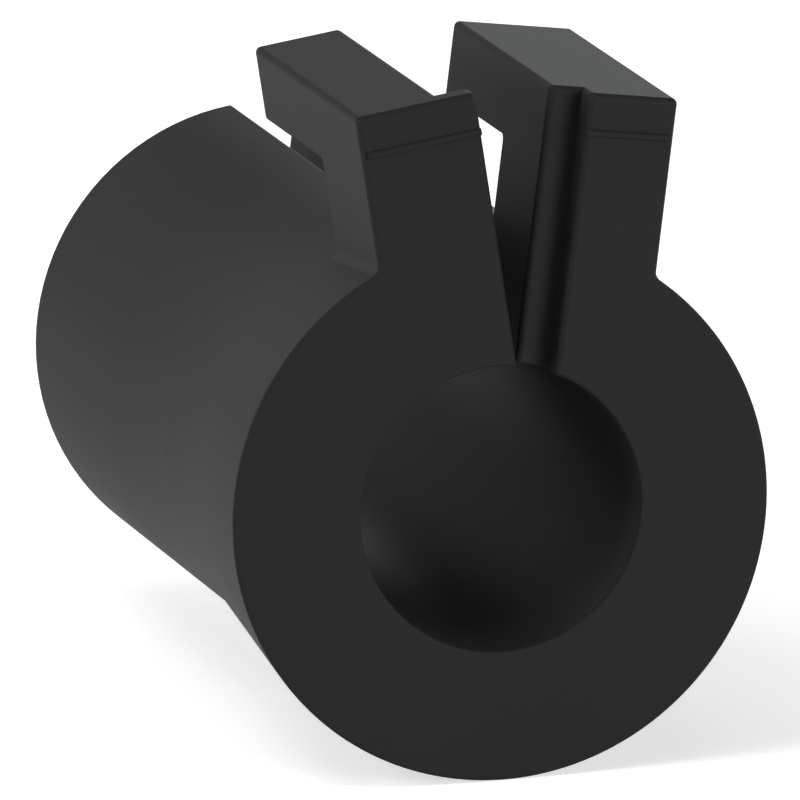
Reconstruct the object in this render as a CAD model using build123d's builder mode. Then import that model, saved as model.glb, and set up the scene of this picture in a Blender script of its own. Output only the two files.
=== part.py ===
import os
from math import cos, radians, sin, sqrt

from build123d import *

# Cable entry grommet: a thick sleeve of black rubber, slit along the top and
# moulded slightly open, with a tab standing up from each lip of the slit.
# Seen from the front, +X is right, +Y runs back along the bore and +Z is up.
# The origin is the centre of the bore in the plane of the front face.

# Sleeve
bore_diameter = 12.0
tube_diameter = 20.0
rim_diameter = 22.95
length = 36.1
flare_length = 15.5
flare_blend = 20.0

# Slit: each lip leans away from the upright, so the slit is an open V. The V
# stands a little to the right of the bore's axis.
lip_lean = 8.0
slit_offset = 0.25

# Lap joint at the front: a tongue on the left lip, a matching rebate in the right one
lap_reach = 1.37
lap_depth = 1.2

# Tabs, measured along and across their own lip
tab_top = 17.55
left_tab_width = 3.8
right_tab_width = 5.2
stem_depth = 6.8
arm_reach = 15.4
arm_height = 3.2

# Raised bead across the front of both tabs
bead_radius = 0.16
bead_drop = 1.65
bead_inset = 0.04

# Spare rubber on the slit side of each tab, cut away with the slit
trim = 0.3

# Rounded edges
rim_round = 0.15
mouth_round = 0.12
lip_round = 0.27
tab_round = 0.25
armpit_round = 0.25
root_round = 0.44
slit_round = 0.15

bore_radius = bore_diameter / 2
tube_radius = tube_diameter / 2
rim_radius = rim_diameter / 2
lean = radians(lip_lean)

# The tabs are rooted midway between the bore and the outside of the tube,
# taken at the outer side of the wider tab
tab_root = (bore_radius + sqrt(tube_radius**2 - max(left_tab_width, right_tab_width) ** 2)) / 2

# Planes that lie in the two lips: their x runs back along the bore, their y
# runs up the lip and their z points to the right, across the tab
foot = (slit_offset, 0, 0)
left_lip = Plane(origin=foot, x_dir=(0, 1, 0), z_dir=(cos(lean), 0, sin(lean)))
right_lip = Plane(origin=foot, x_dir=(0, 1, 0), z_dir=(cos(lean), 0, -sin(lean)))

# Planes square to the two lips at the foot of the V: x runs across, y back
left_plan = Plane(origin=foot, x_dir=(cos(lean), 0, sin(lean)), z_dir=(-sin(lean), 0, cos(lean)))
right_plan = Plane(origin=foot, x_dir=(cos(lean), 0, -sin(lean)), z_dir=(sin(lean), 0, cos(lean)))

# Open space between the lips. Each lip is drawn in plan, stepped by the lap
# joint near the front, and raised along its own lean; the space is what the
# two raised shapes have in common.
spare = tube_radius
gap_reach = tab_top + spare
lap_corners = ((lap_reach, lap_depth), (0, lap_depth))
with BuildPart() as gap:
    for plan, rubber_side, far_side, outer_corner, mode in (
        (left_plan, -1, gap_reach, lap_corners[0], Mode.ADD),
        (right_plan, 1, -gap_reach, lap_corners[1], Mode.INTERSECT),
    ):
        front = lap_reach + rubber_side * lip_round
        middle = lip_round * (1 - sqrt(0.5))
        with BuildSketch(plan) as beside_lip:
            with BuildLine():
                Line((front, -spare), (front, 0))
                ThreePointArc((front, 0), (lap_reach + rubber_side * middle, middle), (lap_reach, lip_round))
                Polyline(
                    (lap_reach, lip_round),
                    *lap_corners,
                    (0, length + spare),
                    (far_side, length + spare),
                    (far_side, -spare),
                    (front, -spare),
                )
            make_face()
            fillet(beside_lip.vertices().sort_by_distance(outer_corner)[0], lip_round)
        extrude(amount=gap_reach, mode=mode)

# Tabs: a stem flush with the front face and an arm that reaches back over the
# sleeve. Both are made wider than needed towards the slit, which trims them.
tabs = []
for lip, inner, outer in (
    (left_lip, lap_reach + trim, -left_tab_width),
    (right_lip, -trim, right_tab_width),
):
    with BuildPart() as tab:
        with BuildSketch(lip.offset(inner)) as side:
            with BuildLine():
                Polyline(
                    (0, tab_root),
                    (0, tab_top),
                    (arm_reach, tab_top),
                    (arm_reach, tab_top - arm_height),
                    (stem_depth, tab_top - arm_height),
                    (stem_depth, tab_root),
                    close=True,
                )
            make_face()
            fillet(side.vertices().sort_by_distance((stem_depth, tab_top - arm_height))[0], armpit_round)
        extrude(amount=outer - inner)
        up = tab.faces().sort_by(Axis(foot, lip.y_dir))
        across = tab.faces().sort_by(Axis(foot, lip.z_dir))
        outer_side = across[0] if outer < inner else across[-1]
        around_outer_side = outer_side.edges() - up[0].edges()
        around_top = up[-1].edges() - outer_side.edges()
        fillet(around_outer_side + around_top, tab_round)
    tabs.append(tab.part)


with BuildPart() as grommet:
    # Sleeve: its section where the slit will be, turned about the bore's axis
    with BuildSketch(Plane.YZ) as section:
        with BuildLine():
            Polyline(
                (0, bore_radius),
                (0, rim_radius),
                (flare_length, tube_radius),
                (length, tube_radius),
                (length, bore_radius),
                close=True,
            )
        make_face()
        fillet(section.vertices().sort_by_distance((flare_length, tube_radius))[0], flare_blend)
        fillet(section.vertices().sort_by_distance((0, rim_radius))[0], rim_round)
        fillet(section.vertices().sort_by_distance((0, bore_radius))[0], mouth_round)
    revolve(axis=Axis.Y)

    for tab_part in tabs:
        add(tab_part)

    # Where the outer side of each tab meets the sleeve
    for lip, outer in ((left_lip, -left_tab_width), (right_lip, right_tab_width)):
        roots = grommet.edges().filter_by(
            lambda edge: abs(lip.to_local_coords(edge.center()).Z - outer) < 2 * tab_round
            and 0 < lip.to_local_coords(edge.center()).Y < rim_radius
        )
        fillet(roots, root_round)

    add(gap.part, mode=Mode.SUBTRACT)

    # Top edges of the tabs beside the slit, stepped by the lap joint
    for lip in (left_lip, right_lip):
        top = grommet.faces().sort_by(Axis(foot, lip.y_dir))[-1]
        beside_slit = top.edges().filter_by(
            lambda edge: -0.01 < lip.to_local_coords(edge.center()).Z < lap_reach + 0.01
        )
        fillet(beside_slit, tab_round)

    # Outer edges of the slit, behind the tabs
    for lip in (left_lip, right_lip):
        beside_slit = grommet.edges().filter_by(
            lambda edge: abs(lip.to_local_coords(edge.center()).Z) < 0.01
            and lip.to_local_coords(edge.center()).X > stem_depth
            and tube_radius - 0.2 < lip.to_local_coords(edge.center()).Y < rim_radius
            and edge.length > 1
        )
        fillet(beside_slit, slit_round)

    # Bead across the front of each tab, from its rounded outer edge to the lap joint
    for lip, start, stop in (
        (left_lip, -left_tab_width + tab_round, lap_reach - bead_inset),
        (right_lip, lap_reach + bead_inset, right_tab_width - tab_round),
    ):
        with BuildSketch(lip.offset(start)):
            with Locations((0, tab_top - bead_drop)):
                Circle(bead_radius)
        extrude(amount=stop - start)

grommet.part.label = "grommet"

os.makedirs("parts", exist_ok=True)
export_step(grommet.part, "parts/grommet.step")
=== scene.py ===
# %% [markdown]
# A slit rubber cable grommet
#
# The grommet is one moulding of black rubber: a thick sleeve that is slit along
# the top, flares towards the front, and carries a hooked tab on each lip of the
# slit. This lesson loads its finished solid, gives it the look of rubber that
# has just left a satin mould, and photographs it on a pale table.

# %% Load the solid
import math

import bpy
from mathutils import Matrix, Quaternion, Vector


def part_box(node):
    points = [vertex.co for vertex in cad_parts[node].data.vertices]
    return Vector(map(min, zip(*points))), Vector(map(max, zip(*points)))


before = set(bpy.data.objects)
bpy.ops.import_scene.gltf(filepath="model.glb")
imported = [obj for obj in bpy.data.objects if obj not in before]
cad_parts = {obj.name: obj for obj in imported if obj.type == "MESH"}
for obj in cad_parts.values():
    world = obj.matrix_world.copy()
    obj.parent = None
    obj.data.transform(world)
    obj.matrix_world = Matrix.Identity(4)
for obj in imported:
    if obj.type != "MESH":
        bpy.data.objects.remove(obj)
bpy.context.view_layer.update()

MM = 0.001
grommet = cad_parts["grommet"]
low, high = (Vector(corner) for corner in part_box("grommet"))
print("grommet", [round(side / MM, 2) for side in high - low], "mm,", len(grommet.data.polygons), "faces")

# %% [markdown]
# Colours on screen are written as hex values, which follow the eye. A renderer
# adds light in linear steps, so each hex value is turned to linear once, here.
# Every material in this file is built from nodes by one small helper.

# %% Helpers for colours and nodes
def linear(hex_colour):
    channels = [int(hex_colour[i : i + 2], 16) / 255 for i in (1, 3, 5)]
    return tuple(c / 12.92 if c <= 0.04045 else ((c + 0.055) / 1.055) ** 2.4 for c in channels) + (1.0,)


def add_node(tree, kind, settings=None, inputs=None, links=None):
    node = tree.nodes.new(kind)
    for name, value in (settings or {}).items():
        setattr(node, name, value)
    for socket, value in (inputs or {}).items():
        node.inputs[socket].default_value = value
    for socket, source in (links or {}).items():
        tree.links.new(source, node.inputs[socket])
    return node


print("mid grey", [round(c, 3) for c in linear("#808080")])

# %% [markdown]
# The flare is moulded in one sweep with the sleeve. On the real piece it runs out
# so slowly that no line can be seen where it ends. The solid has the flare in
# full, with a turn of 20 mm radius at its end, and such a turn is only two
# millimetres long, so the light would change there all at once.
#
# The mesh stays as it is, since the solid carries the true sizes. A second
# moulding could be laid over it, but a bump is enough: it leans the skin by at
# most three degrees, and spreads the change of light over eight millimetres each
# way.

# %% Sizes of the flare and its turn
FLARE_LENGTH = 15.5 * MM
FLARE_GROWTH = 1.475 * MM
FLARE_SLOPE = FLARE_GROWTH / FLARE_LENGTH
TURN_RADIUS = 20 * MM
TURN_REACH = TURN_RADIUS * FLARE_SLOPE / 2
EASE_REACH = 8 * MM
print("flare", round(math.degrees(math.atan(FLARE_SLOPE)), 1), "degrees")
print("turn", round(2 * TURN_REACH / MM, 2), "mm long")

# %% [markdown]
# A fillet fills the hollow where the flare meets the sleeve. Its height is most
# at the meeting line and falls away with the square of the distance, which makes
# the slope change evenly from one side to the other.

# %% Height of a fillet
def add_fillet(tree, distance, reach):
    near = add_node(
        tree,
        "ShaderNodeMapRange",
        inputs={"From Min": 0.0, "From Max": reach, "To Min": 1.0, "To Max": 0.0},
        links={"Value": distance},
    )
    curve = add_node(tree, "ShaderNodeMath", {"operation": "POWER"}, {1: 2.0}, {0: near.outputs[0]})
    height = add_node(
        tree, "ShaderNodeMath", {"operation": "MULTIPLY"}, {1: FLARE_SLOPE * reach / 4}, {0: curve.outputs[0]}
    )
    return height.outputs[0]


print("height at the line", round(FLARE_SLOPE * EASE_REACH / 4 / MM, 3), "mm")

# %% [markdown]
# The bump lies only on the sleeve: on skin that faces straight out from the bore
# and is less than 12 mm away from its axis, so not on the tabs. A second mesh
# could carry it, but two tests in the material find the same skin. Both look
# only across the bore, so they leave out the distance along it.

# %% Where the sleeve is
FACING_OUT = 0.95
SLEEVE_REACH = 12 * MM
ACROSS_BORE = (1, 0, 1)


def add_sleeve_mask(tree, place):
    spoke = add_node(tree, "ShaderNodeVectorMath", {"operation": "MULTIPLY"}, {1: ACROSS_BORE}, {0: place})
    radius = add_node(tree, "ShaderNodeVectorMath", {"operation": "LENGTH"}, links={0: spoke.outputs[0]})
    near = add_node(
        tree, "ShaderNodeMath", {"operation": "LESS_THAN"}, {1: SLEEVE_REACH}, {0: radius.outputs["Value"]}
    )
    outwards = add_node(tree, "ShaderNodeVectorMath", {"operation": "NORMALIZE"}, links={0: spoke.outputs[0]})
    normal = add_node(tree, "ShaderNodeNewGeometry").outputs["True Normal"]
    cosine = add_node(
        tree, "ShaderNodeVectorMath", {"operation": "DOT_PRODUCT"}, links={0: outwards.outputs[0], 1: normal}
    )
    facing = add_node(
        tree, "ShaderNodeMath", {"operation": "GREATER_THAN"}, {1: FACING_OUT}, {0: cosine.outputs["Value"]}
    )
    both = add_node(
        tree, "ShaderNodeMath", {"operation": "MULTIPLY"}, links={0: near.outputs[0], 1: facing.outputs[0]}
    )
    return both.outputs[0]


print("sleeve out to", round(SLEEVE_REACH / MM, 1), "mm")

# %% [markdown]
# The height that is missing is a wide fillet, less the short one that the solid
# already has. A drawn curve could give it too, but two fillets keep it tied to
# the flare's own sizes.

# %% Eased end of the flare
def add_eased_flare(tree, place):
    along = add_node(tree, "ShaderNodeSeparateXYZ", links={"Vector": place}).outputs["Y"]
    beyond = add_node(tree, "ShaderNodeMath", {"operation": "SUBTRACT"}, {1: FLARE_LENGTH}, {0: along})
    away = add_node(tree, "ShaderNodeMath", {"operation": "ABSOLUTE"}, links={0: beyond.outputs[0]})
    wide = add_fillet(tree, away.outputs[0], EASE_REACH)
    short = add_fillet(tree, away.outputs[0], TURN_REACH)
    missing = add_node(tree, "ShaderNodeMath", {"operation": "SUBTRACT"}, links={0: wide, 1: short})
    height = add_node(
        tree,
        "ShaderNodeMath",
        {"operation": "MULTIPLY"},
        links={0: missing.outputs[0], 1: add_sleeve_mask(tree, place)},
    )
    eased = add_node(
        tree, "ShaderNodeBump", inputs={"Strength": 1.0, "Distance": 1.0}, links={"Height": height.outputs[0]}
    )
    return eased.outputs["Normal"]


print("eased over", round(2 * EASE_REACH / MM, 1), "mm")

# %% [markdown]
# The real piece is a soft synthetic rubber, such as EPDM, filled with carbon
# black and pressed in a steel mould whose walls are spark-eroded. Carbon black
# makes it a very dark, nearly neutral grey. The eroded steel prints a satin
# skin: a fine grain that spreads each reflection wide and takes away most of
# its strength, so faces seen square on look matt and even, and only the faces
# that the view skims along turn light. Rubber also blooms: over large patches
# the skin is a little paler or darker.
#
# It could be painted as one dark colour, but that looks like a silhouette. The
# Principled shader with a dark base, a wide and weak reflection, a slow noise
# in the colour for the bloom, and a fine noise in the bump for the grain gives
# what the eye sees, and all of it stays on the rubber from any side.

# %% Moulded rubber
# The grain is really about 0.03 mm wide, too fine to show, so it is drawn coarser
GRAIN_WIDTH = 0.12 * MM
GRAIN_DEPTH = 0.02 * MM
# Patches of bloom are as wide as a fingertip
BLOOM_WIDTH = 9 * MM


def make_moulded_rubber():
    material = bpy.data.materials.new("moulded_rubber")
    material.use_nodes = True
    tree = material.node_tree
    tree.nodes.clear()
    place = add_node(tree, "ShaderNodeTexCoord").outputs["Object"]
    grain = add_node(
        tree, "ShaderNodeTexNoise", inputs={"Scale": 1 / GRAIN_WIDTH, "Detail": 3.0}, links={"Vector": place}
    )
    bloom = add_node(
        tree, "ShaderNodeTexNoise", inputs={"Scale": 1 / BLOOM_WIDTH, "Detail": 4.0}, links={"Vector": place}
    )
    tint = add_node(
        tree,
        "ShaderNodeMix",
        {"data_type": "RGBA"},
        {"A": linear("#222222"), "B": linear("#252525")},
        {"Factor": bloom.outputs["Fac"]},
    )
    bump = add_node(
        tree,
        "ShaderNodeBump",
        inputs={"Strength": 0.08, "Distance": GRAIN_DEPTH},
        links={"Height": grain.outputs["Fac"], "Normal": add_eased_flare(tree, place)},
    )
    # The IOR is rubber's own. The grain breaks up most of what it mirrors, so the
    # level is about a tenth of the usual 0.5
    rubber = add_node(
        tree,
        "ShaderNodeBsdfPrincipled",
        inputs={"Roughness": 0.55, "IOR": 1.52, "Specular IOR Level": 0.045},
        links={"Base Color": tint.outputs["Result"], "Normal": bump.outputs["Normal"]},
    )
    add_node(tree, "ShaderNodeOutputMaterial", links={"Surface": rubber.outputs["BSDF"]})
    return material


rubber = make_moulded_rubber()
grommet.data.materials.clear()
grommet.data.materials.append(rubber)
print("material", rubber.name, "grain", GRAIN_WIDTH / MM, "mm, bloom", BLOOM_WIDTH / MM, "mm")

# %% [markdown]
# The table is a sheet of pale paper under the sleeve. In the photograph the
# background is plain white. More light on the paper would bleach the rubber
# too, so the paper glows by itself instead, but only where the camera, a
# reflection or clear glass looks at it. Its matt part still takes the lamps,
# and so the grommet keeps a soft shadow.

# %% Table
TABLE_SIDE = 3.0
TABLE_GLOW = 0.55
TABLE_MIRRORED = 1.0
bpy.ops.object.select_all(action="DESELECT")
bpy.ops.mesh.primitive_plane_add(size=TABLE_SIDE, location=(0, 0, low.z))
table = bpy.context.object
table.name = "table"


def add_background_rays(tree, mirrored):
    ray = add_node(tree, "ShaderNodeLightPath")
    glossy = add_node(
        tree, "ShaderNodeMath", {"operation": "MULTIPLY"}, {1: mirrored}, {0: ray.outputs["Is Glossy Ray"]}
    )
    seen = glossy.outputs[0]
    for kind in ("Is Camera Ray", "Is Transmission Ray"):
        either = add_node(
            tree, "ShaderNodeMath", {"operation": "MAXIMUM"}, links={0: seen, 1: ray.outputs[kind]}
        )
        seen = either.outputs[0]
    return seen


def make_pale_paper():
    material = bpy.data.materials.new("pale_paper")
    material.use_nodes = True
    tree = material.node_tree
    tree.nodes.clear()
    paper = add_node(tree, "ShaderNodeBsdfDiffuse", inputs={"Color": linear("#f2f2f2")})
    seen = add_background_rays(tree, TABLE_MIRRORED)
    level = add_node(tree, "ShaderNodeMath", {"operation": "MULTIPLY"}, {1: TABLE_GLOW}, {0: seen})
    glow = add_node(
        tree, "ShaderNodeEmission", inputs={"Color": (1, 1, 1, 1)}, links={"Strength": level.outputs[0]}
    )
    both = add_node(tree, "ShaderNodeAddShader", links={0: paper.outputs[0], 1: glow.outputs[0]})
    add_node(tree, "ShaderNodeOutputMaterial", links={"Surface": both.outputs[0]})
    return material


table.data.materials.append(make_pale_paper())
print("table at", round(low.z / MM, 2), "mm")

# %% [markdown]
# Soft studio light: round soft boxes almost half a metre wide stand around the
# grommet, a metre away. Two on the left light the sleeve, where the photograph
# is palest, and one at the front right lights the ring round the bore from the
# side, so the recess of the lap joint keeps its shadow. Two overhead draw the
# thin bright lines on the front edges, and three at the back brighten the tops
# of the tabs. The photograph doesn't show the right side, and one soft box there
# keeps its form clear from other angles. The low one on the left and the one at
# the back right are a touch green, like the palest faces in the photograph.
# Together they light a matt surface on top of the grommet about as brightly as
# its colour is written.

# %% Lamps
LAMP_DISTANCE = 1.0
LAMP_WIDTH = 0.45
LAMP_AIM = Vector((0, 15, 0)) * MM
COOL_TINT = "#f8fffc"


def towards(azimuth, elevation):
    turn, tilt = math.radians(azimuth), math.radians(elevation)
    return Vector((math.sin(turn) * math.cos(tilt), -math.cos(turn) * math.cos(tilt), math.sin(tilt)))


def add_soft_box(name, azimuth, elevation, power, tint="#ffffff"):
    data = bpy.data.lights.new(name, "AREA")
    data.color = linear(tint)[:3]
    data.shape = "DISK"
    data.size = LAMP_WIDTH
    data.energy = power
    lamp = bpy.data.objects.new(name, data)
    bpy.context.collection.objects.link(lamp)
    direction = towards(azimuth, elevation)
    lamp.location = LAMP_AIM + direction * LAMP_DISTANCE
    lamp.rotation_euler = direction.to_track_quat("Z", "Y").to_euler()


add_soft_box("left_low", -90, 8, 6.2, COOL_TINT)
add_soft_box("left_high", -108, 35, 2.4)
add_soft_box("overhead_left", -60, 62, 2.8)
add_soft_box("overhead_front", 0, 62, 0.8)
add_soft_box("front_right", 30, 8, 8.4)
add_soft_box("right", 105, 8, 3.5)
add_soft_box("back_right", 156, 12, 1.2, COOL_TINT)
add_soft_box("back", -170, 8, 0.5)
add_soft_box("back_high", -180, 35, 0.4)

# %% [markdown]
# The room behind everything is white for the camera and for clear glass. The
# walls of a studio stand in half light, and so the rubber mirrors them as a
# grey. The room gives the grommet no matt light of its own.

# %% Room
ROOM_MIRRORED = 0.3
world = bpy.data.worlds.new("room")
bpy.context.scene.world = world
world.use_nodes = True
world.node_tree.nodes.clear()
room = add_node(
    world.node_tree,
    "ShaderNodeBackground",
    inputs={"Color": (1, 1, 1, 1)},
    links={"Strength": add_background_rays(world.node_tree, ROOM_MIRRORED)},
)
add_node(world.node_tree, "ShaderNodeOutputWorld", links={"Surface": room.outputs[0]})
bpy.context.scene.view_settings.view_transform = "Standard"
print("view transform", bpy.context.scene.view_settings.view_transform)

# %% [markdown]
# The photograph is taken with a very long lens, a little to the left of the
# front and a little above, and the camera is turned slightly in its mount.

# %% Camera
AZIMUTH = -15.96
ELEVATION = 12.63
ROLL = -0.87
DISTANCE = 0.9614
AIM = Vector((-1.98, 8.0, 3.07)) * MM
FOCAL_LENGTH = 1045.0
SENSOR_WIDTH = 36
FARTHEST_SEEN = 20

towards_camera = towards(AZIMUTH, ELEVATION)
camera_data = bpy.data.cameras.new("camera")
camera_data.lens = FOCAL_LENGTH
camera_data.sensor_width = SENSOR_WIDTH
camera_data.clip_end = FARTHEST_SEEN
camera = bpy.data.objects.new("camera", camera_data)
bpy.context.collection.objects.link(camera)
camera.location = AIM + towards_camera * DISTANCE
camera.rotation_mode = "QUATERNION"
upright = towards_camera.to_track_quat("Z", "Y")
camera.rotation_quaternion = upright @ Quaternion((0, 0, 1), math.radians(ROLL))
bpy.context.scene.camera = camera
print("camera at", [round(c, 3) for c in camera.location])
